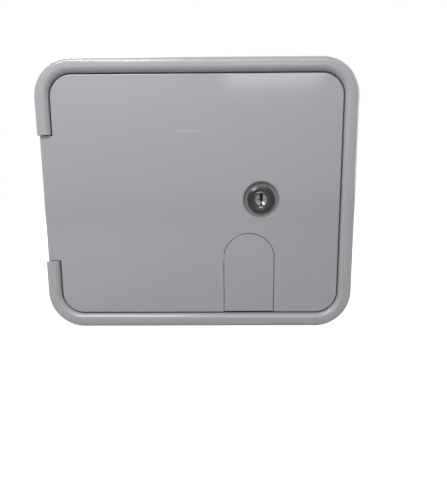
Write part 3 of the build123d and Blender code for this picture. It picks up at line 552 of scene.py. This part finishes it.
# Cord flap: a small arched moulding that fills the hole in the door and swings out at its foot.
# Its knuckle turns on the steel pin behind the skin, and a flange at the arch laps behind the door.
FLAP_HALF, FLAP_ARCH, FLAP_FOOT, FLAP_EDGE = 18.55, 18.8, -85.8, 0.3
FLAP_KNUCKLE, END_COLLAR, END_COLLAR_PLACE, END_COLLAR_WIDTH = 2.2, 2.7, 18.1, 1.6
CROSS_RIB_HALF, FLAP_BORE, FLANGE_START = 17.2, 1.06, 2.75
sections = []
for turn in (0, 22, 45, 68, 90):
    inset = FLAP_EDGE * (1 - sin(radians(turn)))
    out = DOOR_FACE - FLAP_EDGE * (1 - cos(radians(turn)))
    sections.append((FLAP_HALF - inset, FLAP_ARCH - inset, FLAP_FOOT + inset, out))
sections.append((FLAP_HALF, FLAP_ARCH, FLAP_FOOT, DOOR_BACK))
bm = bmesh.new()
skin_rings(bm, arch_ring, sections, closed=False)
flap_piece = as_piece(bm, "cord_flap_moulding")
bm = bmesh.new()
rod(bm, FLAP_KNUCKLE, (FLAP_X, FLAP_PIVOT, ARCH_Z), 2 * FLAP_HALF, "X")
for side in (-1, 1):
    collar_place = (FLAP_X + side * END_COLLAR_PLACE, FLAP_PIVOT, ARCH_Z)
    rod(bm, END_COLLAR, collar_place, END_COLLAR_WIDTH, "X")
rib_low, rib_high = WALL_FOOT, WALL_FOOT + 2 * RIB_HALF
block(bm, (FLAP_X - CROSS_RIB_HALF, SKIRT_BACK, rib_low), (FLAP_X + CROSS_RIB_HALF, INSIDE_SKIN, rib_high))
block(bm, (FLAP_X - RIB_HALF, SKIRT_BACK, rib_low + RIB_HALF), (FLAP_X + RIB_HALF, INSIDE_SKIN, ARCH_Z))
shape_with(flap_piece, bm, "UNION", crossing=True)
bm = bmesh.new()
rod(bm, FLAP_BORE, (FLAP_X, FLAP_PIVOT, ARCH_Z), FLAP_PIN_REACH, "X")
shape_with(flap_piece, bm, "DIFFERENCE")
flange_profile = [
    (16.6, 5.1), (20.2, 5.1), (20.45, 5.3), (20.45, 6.3), (18.2, 6.3), (18.2, 8.0), (16.6, 8.0), (16.6, 5.1),
]
bm = bmesh.new()
turned(bm, flange_profile, FLAP_X, ARCH_Z, 96)
flange = as_piece(bm, "flange")
below_flange = one_block((FLAP_X - 30, 0, ARCH_Z - 30), (FLAP_X + 30, 10, ARCH_Z + FLANGE_START))
shape_with(flange, below_flange, "DIFFERENCE")
shape_with(flap_piece, taken_back(flange), "UNION")
soften(flap_piece, 0.15)
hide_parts("cord_flap")
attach(flap_piece, "flap_body")
finish_with(flap_piece, moulded_plastic("flap_grey", DOOR_COLOUR, DOOR_GRAIN, gloss=1.0))


# Lock body: a die-cast cylinder plated dark, with a polished bevel, a flat ring and a dished face.
# Its threaded barrel has two flats, and a lug at its rear stops the washer that turns with the cam.
BARREL_BACK, BARREL_FLAT = -9.0, 8.0
THREAD_ROOT, THREAD_CREST, THREAD_TURNS = 9.1, 9.5, 12
LUG_INSIDE, LUG_OUTSIDE, LUG_START, LUG_SWEEP = 7.4, 8.7, -69.25, 228.5


def part_ring(bm, inner, outer, low, high, start, sweep):
    """Part of a ring about the lock's axis, from one angle on through another."""
    turn = radians(start)
    corners = [
        bm.verts.new(((LOCK_X + radius * cos(turn)) * MM, -out * MM, (LOCK_Z + radius * sin(turn)) * MM))
        for radius, out in ((inner, low), (outer, low), (outer, high), (inner, high))
    ]
    slab = bm.faces.new(corners)
    bmesh.ops.spin(
        bm, geom=[slab] + slab.edges[:] + corners, cent=(LOCK_X * MM, 0, LOCK_Z * MM), axis=(0, -1, 0),
        angle=radians(sweep), steps=48, use_merge=False,
    )


def crisp(piece):
    """Smooth faces, with every turned or cut corner above 30 degrees left sharp."""
    piece.data.shade_smooth()
    piece.data.set_sharp_from_angle(angle=radians(30))


barrel = [(0, BARREL_BACK), (8.8, BARREL_BACK), (THREAD_ROOT, BARREL_BACK + 0.3)]
for turn_number in range(THREAD_TURNS):
    root = BARREL_BACK + 0.5 + turn_number
    barrel += [(THREAD_ROOT, root), (THREAD_CREST, root + 0.4)]
    barrel += [(THREAD_CREST, root + 0.55), (THREAD_ROOT, root + 0.95)]
barrel += [(THREAD_ROOT, 3.6), (THREAD_CREST, 3.9), (THREAD_CREST, 7.3), (0, 7.3)]
head = [
    (0, 7.0), (10.1, 7.0), (10.3, 7.15), (10.3, 8.5), (10.25, 8.6), (9.75, 8.85), (9.6, 8.88), (9.35, 8.9),
    (9.2, 8.94), (8.5, 9.3), (8.35, 9.36), (8.15, 9.38), (6.3, 8.74), (6.1, 8.7), (0, 8.7),
]
plug_bore = [(0, -11), (5.86, -11), (5.86, 8.55), (6.06, 8.75), (6.06, 10), (0, 10)]
lock_casting = as_piece(turned_on_lock(barrel), "lock_casting")
bm = bmesh.new()
part_ring(bm, LUG_INSIDE, LUG_OUTSIDE, BARREL_BACK - 0.8, BARREL_BACK + 0.4, LUG_START, LUG_SWEEP)
shape_with(lock_casting, bm, "UNION")
flats = one_block((-BARREL_FLAT, -12, -12), (BARREL_FLAT, 9, 12), LOCK_AXIS)
shape_with(lock_casting, flats, "INTERSECT")
shape_with(lock_casting, turned_on_lock(head), "UNION")
shape_with(lock_casting, turned_on_lock(plug_bore), "DIFFERENCE")
crisp(lock_casting)


def worked_out(tree, operation, *values):
    """A sum on sockets and plain numbers."""
    result = tree.nodes.new("ShaderNodeMath")
    result.operation = operation
    for socket, value in zip(result.inputs, values):
        if isinstance(value, float):
            socket.default_value = value
        else:
            tree.links.new(value, socket)
    return result.outputs["Value"]


def plated_metal(name, colour, roughness, wear_colour, wear, key_rubs=False):
    """Plated metal: fine grime and scratches, and bare metal on the edges and on slopes that a key rubs."""
    material = bpy.data.materials.new(name)
    material.use_nodes = True
    tree = material.node_tree
    shader = tree.nodes["Principled BSDF"]
    shader.inputs["Metallic"].default_value = 1.0
    spot = tree.nodes.new("ShaderNodeTexCoord").outputs["Object"]
    grime_and_painted_shade = mottling(tree, spot, 420.0, 5.0).outputs["Fac"]
    rough = spread(tree, grime_and_painted_shade, roughness * 0.8, roughness * 1.35, 0.3, 0.7)
    tree.links.new(rough, shader.inputs["Roughness"])
    bare = edge_wear_and_highlight(tree, 0.2, 0.995, 0.93, wear)
    if key_rubs:
        surface = tree.nodes.new("ShaderNodeNewGeometry")
        facing = tree.nodes.new("ShaderNodeVectorMath")
        facing.operation = "DOT_PRODUCT"
        facing.inputs[1].default_value = (0, -1, 0)
        tree.links.new(surface.outputs["Normal"], facing.inputs[0])
        sloping = worked_out(tree, "COMPARE", facing.outputs["Value"], 0.905, 0.05)
        bare = worked_out(tree, "MAXIMUM", bare, sloping)
    tone = tree.nodes.new("ShaderNodeMix")
    tone.data_type = "RGBA"
    tone.inputs["A"].default_value = (colour[0] * 0.78, colour[1] * 0.8, colour[2] * 0.86, 1)
    tone.inputs["B"].default_value = (colour[0] * 1.14, colour[1] * 1.12, colour[2] * 1.02, 1)
    tree.links.new(grime_and_painted_shade, tone.inputs["Factor"])
    worn = laid_over(tree, bare, tone.outputs["Result"], (*wear_colour, 1))
    tree.links.new(worn, shader.inputs["Base Color"])
    scratches = mottling(tree, spot, 2600.0, 2.0)
    scratched = raised(tree, scratches.outputs["Fac"], 0.15, 0.02)
    tree.links.new(scratched.outputs["Normal"], shader.inputs["Normal"])
    return material


def stands_for(piece, node, body, finish):
    """The piece takes the place of the plain solid, rides on its body and gets its finish."""
    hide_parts(node)
    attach(piece, body)
    finish_with(piece, finish)


dark_plating = plated_metal("dark_plating", (0.054, 0.054, 0.057), 0.17, (0.42, 0.42, 0.42), 0.6)
stands_for(lock_casting, "lock_body", "door_body", dark_plating)


# Lock plug: the turning core, die cast and plated. Its face has a shallow cone that guides the key, and
# a warded keyway with a ramp at each end. Five slots hold the wafers, and its square rear drives the cam.
SQUARE_HALF, SQUARE_BACK, SQUARE_FRONT = 3.8, -12.0, -8.0
core = [
    (0, BARREL_BACK), (5.8, BARREL_BACK), (5.8, 8.35), (5.74, 8.49), (5.6, 8.55), (4.5, 8.55), (4.3, 8.47),
    (0, 6.7),
]
plug_piece = as_piece(turned_on_lock(core), "lock_plug_core")
square_low = (-SQUARE_HALF, SQUARE_BACK, -SQUARE_HALF)
square_high = (SQUARE_HALF, SQUARE_FRONT, SQUARE_HALF)
shape_with(plug_piece, one_block(square_low, square_high, LOCK_AXIS), "UNION")

# The keyway is a narrow slot with wider parts between the wards at each side
KEY_LOW, KEY_WAIST, KEY_HIGH = -3.5, -0.3, 4.5
KEY_HALF, WARD_START, WARD_END, KEY_BACK, PAST_FACE = 0.61, 0.6, 1.3, -5.0, 9.0
bm = bmesh.new()
block(bm, (-KEY_HALF, KEY_BACK, KEY_LOW), (KEY_HALF, PAST_FACE, KEY_HIGH), LOCK_AXIS)
for low, high in ((KEY_WAIST, 0.9), (2.1, KEY_HIGH)):
    block(bm, (-WARD_END, KEY_BACK, low), (-WARD_START, PAST_FACE, high), LOCK_AXIS)
for low, high in ((KEY_LOW, -2.9), (-1.7, KEY_HIGH)):
    block(bm, (WARD_START, KEY_BACK, low), (WARD_END, PAST_FACE, high), LOCK_AXIS)

# A ramp runs out to the face from each end of the keyway: its far edge is moved along by the run
RAMP_HALF, RAMP_FLOOR = 1.28, 8.1
for low, high, far, run in ((4.0, 4.4, 4.4, 2.1), (-4.7, -3.5, -4.7, -2.6)):
    block(bm, (-RAMP_HALF, RAMP_FLOOR, low), (RAMP_HALF, PAST_FACE, high), LOCK_AXIS)
    bm.verts.ensure_lookup_table()
    for vert in bm.verts[-8:]:
        at_face = vert.co.y < -8.5 * MM
        at_far_edge = abs(vert.co.z - (LOCK_Z + far) * MM) < 0.01 * MM
        if at_face and at_far_edge:
            vert.co.z += run * MM

# Each wafer's slot goes right through, with a pocket beside it for the wafer's spring
WAFERS, FIRST_WAFER, WAFER_PITCH = 5, 5.35, 2.2
WAFER_SIDE, WAFER_END, WAFER_HALF = 3.35, 7, 0.5
POCKET_LEFT, POCKET_RIGHT, POCKET_LOW, POCKET_HIGH, POCKET_HALF = -4.6, -3.25, -2.4, 2.5, 0.72
for number in range(WAFERS):
    middle = FIRST_WAFER - WAFER_PITCH * number
    back, front = middle - WAFER_HALF, middle + WAFER_HALF
    block(bm, (-WAFER_SIDE, back, -WAFER_END), (WAFER_SIDE, front, WAFER_END), LOCK_AXIS)
    back, front = middle - POCKET_HALF, middle + POCKET_HALF
    block(bm, (POCKET_LEFT, back, POCKET_LOW), (POCKET_RIGHT, front, POCKET_HIGH), LOCK_AXIS)
screw_bore = [(0, -13), (2.02, -13), (2.02, -6), (0, -6)]
turned(bm, screw_bore, LOCK_X, LOCK_Z, 32)
shape_with(plug_piece, bm, "DIFFERENCE", crossing=True)
crisp(plug_piece)
worn_plating = plated_metal(
    "worn_plating", (0.07, 0.07, 0.073), 0.2, (0.22, 0.222, 0.232), 0.6, key_rubs=True,
)
stands_for(plug_piece, "lock_plug", "plug_body", worn_plating)


# Wafers and springs: five stamped brass plates and their fine coil springs keep their own meshes, and
# so do the three steel pins of the hinge and the flap. In the keyway the brass is painted near-black,
# as painted shade.
brass = plated_metal("stamped_brass", (0.5, 0.36, 0.15), 0.35, (0.7, 0.55, 0.3), 0.3)
tree = brass.node_tree
shader = tree.nodes["Principled BSDF"]
across = tree.nodes.new("ShaderNodeSeparateXYZ")
tree.links.new(tree.nodes["Texture Coordinate"].outputs["Object"], across.inputs["Vector"])
# Painted shade: the brass within the keyway's width is laid over with near-black
in_keyway = worked_out(tree, "COMPARE", across.outputs["X"], LOCK_X * MM, 1.6 * MM)
clean_brass = shader.inputs["Base Color"].links[0].from_socket
keyway_painted_shade = laid_over(tree, in_keyway, clean_brass, (0.02, 0.018, 0.014, 1))
tree.links.new(keyway_painted_shade, shader.inputs["Base Color"])
drawn_steel = plated_metal("drawn_steel", (0.42, 0.42, 0.42), 0.28, (0.6, 0.6, 0.6), 0.4)
finishes = {"hinge_pin_lower": drawn_steel, "hinge_pin_upper": drawn_steel, "flap_pin": drawn_steel}
for number in range(1, WAFERS + 1):
    finishes["lock_wafer_" + str(number)] = brass
    finishes["wafer_spring_" + str(number)] = drawn_steel
for node, finish in finishes.items():
    finish_with(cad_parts[node], finish)


# Lock washer and nut: a split spring ring and a thin plated hexagon nut clamp the lock to the door.
# The nut's rear corners are turned off, as on any hexagon nut.
zinc = plated_metal("zinc_plate", (0.4, 0.4, 0.395), 0.36, (0.58, 0.58, 0.58), 0.5)
bright_plating = plated_metal("bright_plating", (0.48, 0.48, 0.49), 0.24, (0.7, 0.7, 0.7), 0.5)
washer = [(9.62, 3.2), (12.3, 3.2), (12.3, 4.0), (9.62, 4.0), (9.62, 3.2)]
washer_piece = as_piece(turned_on_lock(washer), "lock_washer_ring")
washer_split = one_block((-0.6, 2, 0), (0.6, 5, 14), LOCK_AXIS)
shape_with(washer_piece, washer_split, "DIFFERENCE")
soften(washer_piece, 0.12)
stands_for(washer_piece, "lock_washer", "door_body", zinc)

NUT_RADIUS, NUT_THICKNESS, NUT_MIDDLE = 13.85, 4.0, 1.2
bm = bmesh.new()
hexagon = bmesh.ops.create_cone(
    bm, cap_ends=True, segments=6, radius1=NUT_RADIUS * MM, radius2=NUT_RADIUS * MM,
    depth=NUT_THICKNESS * MM,
)["verts"]
bmesh.ops.rotate(bm, matrix=Matrix.Rotation(radians(30), 3, "Z"), verts=hexagon)
bmesh.ops.rotate(bm, matrix=AGAINST_WALL, verts=hexagon)
bmesh.ops.translate(bm, vec=(LOCK_X * MM, -NUT_MIDDLE * MM, LOCK_Z * MM), verts=hexagon)
nut_piece = as_piece(bm, "lock_nut_hexagon")
turned_corners = [(0, -0.8), (12.0, -0.8), (14.0, 0.4), (14.0, 3.2), (0, 3.2)]
nut_bore = [(0, -2), (10.3, -2), (10.1, -0.8), (9.52, -0.2), (9.52, 4), (0, 4)]
shape_with(nut_piece, turned_on_lock(turned_corners), "INTERSECT")
shape_with(nut_piece, turned_on_lock(nut_bore), "DIFFERENCE")
soften(nut_piece, 0.12)
stands_for(nut_piece, "lock_nut", "door_body", bright_plating)


# Stop washer and cam: steel stampings on the plug's square, zinc plated. The washer's ear meets the
# lug at each end of the quarter turn, and the long cam goes behind the frame's strike.
SQUARE_HOLE_HALF = 3.85
STOP_FRONT, CAM_FRONT, CAM_BACK = -9.05, -10.05, -12.05


def punch_square(piece):
    """The square hole that fits over the plug's rear end."""
    low = (-SQUARE_HOLE_HALF, -20, -SQUARE_HOLE_HALF)
    high = (SQUARE_HOLE_HALF, 0, SQUARE_HOLE_HALF)
    shape_with(piece, one_block(low, high, LOCK_AXIS), "DIFFERENCE")


disc = [(0, CAM_FRONT), (7.0, CAM_FRONT), (7.0, STOP_FRONT), (0, STOP_FRONT)]
stop_piece = as_piece(turned_on_lock(disc), "stop_washer_plate")
stop_ear = one_block((-2.5, CAM_FRONT, -8.8), (2.5, STOP_FRONT, 0), LOCK_AXIS)
shape_with(stop_piece, stop_ear, "UNION")
punch_square(stop_piece)
soften(stop_piece, 0.12)
stands_for(stop_piece, "stop_washer", "plug_body", zinc)

CAM_ROOT_RADIUS, CAM_TIP_RADIUS, CAM_REACH = 8.0, 5.0, 37.0
bm = bmesh.new()
for end_z, radius in ((LOCK_Z, CAM_ROOT_RADIUS), (LOCK_Z + CAM_REACH, CAM_TIP_RADIUS)):
    for face_height in (CAM_BACK, CAM_FRONT):
        ring = bmesh.ops.create_circle(bm, cap_ends=False, segments=64, radius=radius * MM)["verts"]
        bmesh.ops.rotate(bm, matrix=AGAINST_WALL, verts=ring)
        bmesh.ops.translate(bm, vec=(LOCK_X * MM, -face_height * MM, end_z * MM), verts=ring)
hull = bmesh.ops.convex_hull(bm, input=bm.verts)
bmesh.ops.delete(bm, geom=hull["geom_interior"] + hull["geom_unused"], context="VERTS")
cam_piece = as_piece(bm, "lock_cam_bar")
punch_square(cam_piece)
soften(cam_piece, 0.25)
stands_for(cam_piece, "lock_cam", "plug_body", zinc)


# Cam washer and screw: a split spring washer and a pan head screw with a cross recess, both zinc
# plated, hold the cam on the plug.
CAM_WASHER_BACK, SHANK_RADIUS, SHANK_END = -12.95, 2.0, -6.05
spring_washer = [
    (2.05, CAM_WASHER_BACK), (5.6, CAM_WASHER_BACK), (5.6, CAM_BACK), (2.05, CAM_BACK),
    (2.05, CAM_WASHER_BACK),
]
spring_ring = as_piece(turned_on_lock(spring_washer, 64), "cam_washer_ring")
ring_split = one_block((0, -14, -0.4), (6, -11, 0.4), LOCK_AXIS)
shape_with(spring_ring, ring_split, "DIFFERENCE")
soften(spring_ring, 0.15)
stands_for(spring_ring, "cam_washer", "plug_body", zinc)

pan_head = [
    (0, -15.35), (1.9, -15.3), (3.0, -15.1), (3.75, -14.65), (4.1, -14.1), (4.2, -13.5),
    (4.2, CAM_WASHER_BACK), (SHANK_RADIUS, CAM_WASHER_BACK), (SHANK_RADIUS, SHANK_END), (0, SHANK_END),
]
CROSS_REACH, CROSS_HALF, CROSS_FLOOR, PAST_HEAD = 2.1, 0.55, -14.15, -16
screw_piece = as_piece(turned_on_lock(pan_head, 64), "cam_screw_pan_head")
bm = bmesh.new()
for across_x, across_z in ((CROSS_REACH, CROSS_HALF), (CROSS_HALF, CROSS_REACH)):
    block(bm, (-across_x, PAST_HEAD, -across_z), (across_x, CROSS_FLOOR, across_z), LOCK_AXIS)
shape_with(screw_piece, bm, "DIFFERENCE", crossing=True)
soften(screw_piece, 0.08)
stands_for(screw_piece, "cam_screw", "plug_body", zinc)


# Floor, light and camera: a white floor and surround, soft light from above and the left, and a
# camera close in front of the lock, as in the photograph. The floor looks white to the camera,
# throws less light back on the part, and shows palely in what is glossy.
FLOOR_Z = -97.6
bm = bmesh.new()
bmesh.ops.create_grid(bm, x_segments=1, y_segments=1, size=3.0)
bmesh.ops.translate(bm, vec=(0, 0, FLOOR_Z * MM), verts=bm.verts)
floor = as_piece(bm, "floor")
white = bpy.data.materials.new("white_floor")
white.use_nodes = True
tree = white.node_tree
tree.nodes.remove(tree.nodes["Principled BSDF"])
rays = tree.nodes.new("ShaderNodeLightPath")
lit = tree.nodes.new("ShaderNodeBsdfDiffuse")
lit.inputs["Color"].default_value = (0.8, 0.8, 0.8, 1)
glow = tree.nodes.new("ShaderNodeEmission")
glow.inputs["Strength"].default_value = 0.86
looked_at = tree.nodes.new("ShaderNodeAddShader")
tree.links.new(lit.outputs["BSDF"], looked_at.inputs[0])
tree.links.new(glow.outputs["Emission"], looked_at.inputs[1])
thrown_back = tree.nodes.new("ShaderNodeBsdfDiffuse")
thrown_back.inputs["Color"].default_value = (0.47, 0.47, 0.47, 1)
mirrored = tree.nodes.new("ShaderNodeEmission")
mirrored_strength = worked_out(tree, "MULTIPLY", rays.outputs["Is Glossy Ray"], 0.45)
tree.links.new(mirrored_strength, mirrored.inputs["Strength"])
thrown_or_mirrored = tree.nodes.new("ShaderNodeAddShader")
tree.links.new(thrown_back.outputs["BSDF"], thrown_or_mirrored.inputs[0])
tree.links.new(mirrored.outputs["Emission"], thrown_or_mirrored.inputs[1])
seen = worked_out(tree, "MAXIMUM", rays.outputs["Is Camera Ray"], rays.outputs["Is Transmission Ray"])
choose = tree.nodes.new("ShaderNodeMixShader")
tree.links.new(seen, choose.inputs["Fac"])
tree.links.new(thrown_or_mirrored.outputs["Shader"], choose.inputs[1])
tree.links.new(looked_at.outputs["Shader"], choose.inputs[2])
tree.links.new(choose.outputs["Shader"], tree.nodes["Material Output"].inputs["Surface"])
finish_with(floor, white)

world = bpy.data.worlds.new("white_room")
bpy.context.scene.world = world
world.use_nodes = True
tree = world.node_tree
sky = tree.nodes["Background"]
sky.inputs["Color"].default_value = (1, 1, 1, 1)
rays = tree.nodes.new("ShaderNodeLightPath")
seen = worked_out(tree, "MAXIMUM", rays.outputs["Is Camera Ray"], rays.outputs["Is Transmission Ray"])
seen_or_mirrored = worked_out(tree, "MAXIMUM", seen, rays.outputs["Is Glossy Ray"])
tree.links.new(spread(tree, seen_or_mirrored, 0.17, 1.0), sky.inputs["Strength"])


def soft_lamp(name, place, aim, size, power):
    """A rectangular lamp with a diffuser, turned to what it lights."""
    lamp = bpy.data.lights.new(name, "AREA")
    lamp.shape = "RECTANGLE"
    lamp.size, lamp.size_y = size
    lamp.energy = power
    holder = bpy.data.objects.new(name, lamp)
    holder.location = place
    holder.rotation_euler = (Vector(aim) - Vector(place)).to_track_quat("-Z", "Y").to_euler()
    bpy.context.scene.collection.objects.link(holder)


soft_lamp("key_lamp", place=(-0.24, -0.42, 0.5), aim=(0, 0, 0), size=(0.3, 0.3), power=3.3)
soft_lamp("ceiling_strip", place=(0.03, -0.78, 0.555), aim=(0.02, 0, 0.06), size=(0.7, 0.05), power=2.2)
soft_lamp("room_lamp", place=(0.17, -0.97, 0.35), aim=(0.05, 0, 0.08), size=(0.3, 0.04), power=0.26)
soft_lamp("side_lamp", place=(0.9, 0.15, 0.3), aim=(0, 0, 0), size=(0.6, 0.6), power=3.0)
soft_lamp("rear_lamp", place=(-0.45, 0.75, 0.6), aim=(0, 0, 0), size=(0.5, 0.5), power=6.0)

# The door's plane stands this far from the camera, rolled, pitched and yawed by these angles
DOOR_PLACE = (-0.018667, 0.030620, -0.273817)
ROLL, PITCH, YAW = 0.005238, 0.145608, -0.007986
camera_data = bpy.data.cameras.new("camera")
camera_data.lens = 28.125
camera_data.sensor_width = 36.0
camera_data.clip_start = 0.01
camera = bpy.data.objects.new("camera", camera_data)
bpy.context.scene.collection.objects.link(camera)
tilt = Matrix.Rotation(ROLL, 4, "Z") @ Matrix.Rotation(PITCH, 4, "X") @ Matrix.Rotation(YAW, 4, "Y")
door_plane = Matrix.Translation((0, -DOOR_FACE * MM, 0)) @ Matrix.Rotation(radians(90), 4, "X")
camera.matrix_world = door_plane @ (Matrix.Translation(DOOR_PLACE) @ tilt).inverted()
bpy.context.scene.camera = camera
bpy.context.scene.view_settings.view_transform = "Standard"
